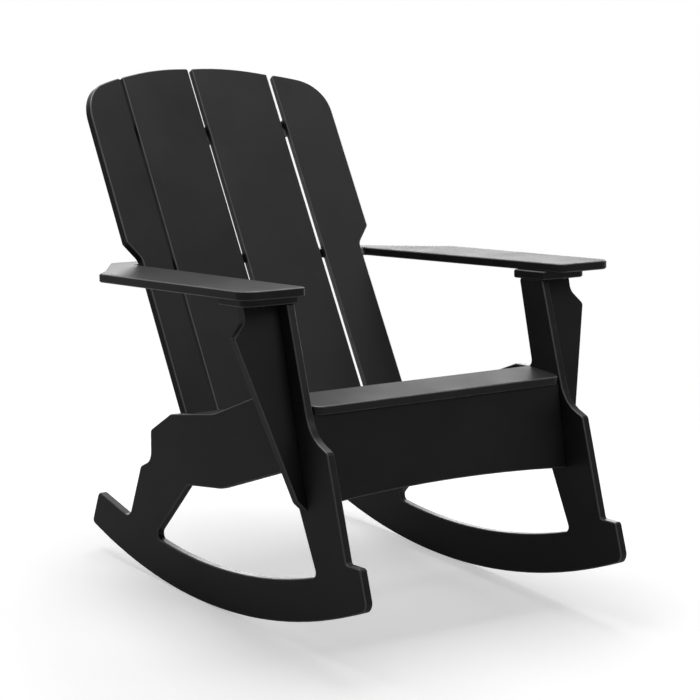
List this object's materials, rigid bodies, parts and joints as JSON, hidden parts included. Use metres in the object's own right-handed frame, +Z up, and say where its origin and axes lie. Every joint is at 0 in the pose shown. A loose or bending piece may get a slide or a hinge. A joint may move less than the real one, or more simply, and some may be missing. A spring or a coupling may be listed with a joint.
{
  "type": "rocking adirondack chair",
  "caption": "Rocking adirondack chair cut from sheet: fanned hollow back with an arched top, broad arms, slatted dished seat and a curved runner in each side panel.",
  "frame": {"origin": "on the floor midway between the two runners, where they touch it at rest", "axes": "+Z up, the sitter faces -Y, +X to the sitter's left"},
  "size_m": [0.827, 1.0483, 0.9245],
  "materials": {
    "sheet": "black through-coloured outdoor plastic sheet, lightly orange-peel textured, satin on its eased edges",
    "screw": "stainless steel countersunk screws"
  },
  "bodies": {
    "root": {"apron_block_left": "sheet", "apron_block_right": "sheet", "arm_back_rail": "sheet", "arm_bracket_left": "sheet", "arm_bracket_right": "sheet", "arm_left": "sheet", "arm_plate_left": "sheet", "arm_plate_right": "sheet", "arm_right": "sheet", "back_slat_inner_left": "sheet", "back_slat_inner_right": "sheet", "back_slat_outer_left": "sheet", "back_slat_outer_right": "sheet", "bracket_screws": "screw", "front_apron": "sheet", "lower_back_rail": "sheet", "seat_cleat_left": "sheet", "seat_cleat_right": "sheet", "seat_slat_1": "sheet", "seat_slat_2": "sheet", "seat_slat_3": "sheet", "seat_slat_4": "sheet", "seat_slat_5": "sheet", "side_panel_left": "sheet", "side_panel_right": "sheet", "upper_back_rail": "sheet"}
  },
  "joints": []
}
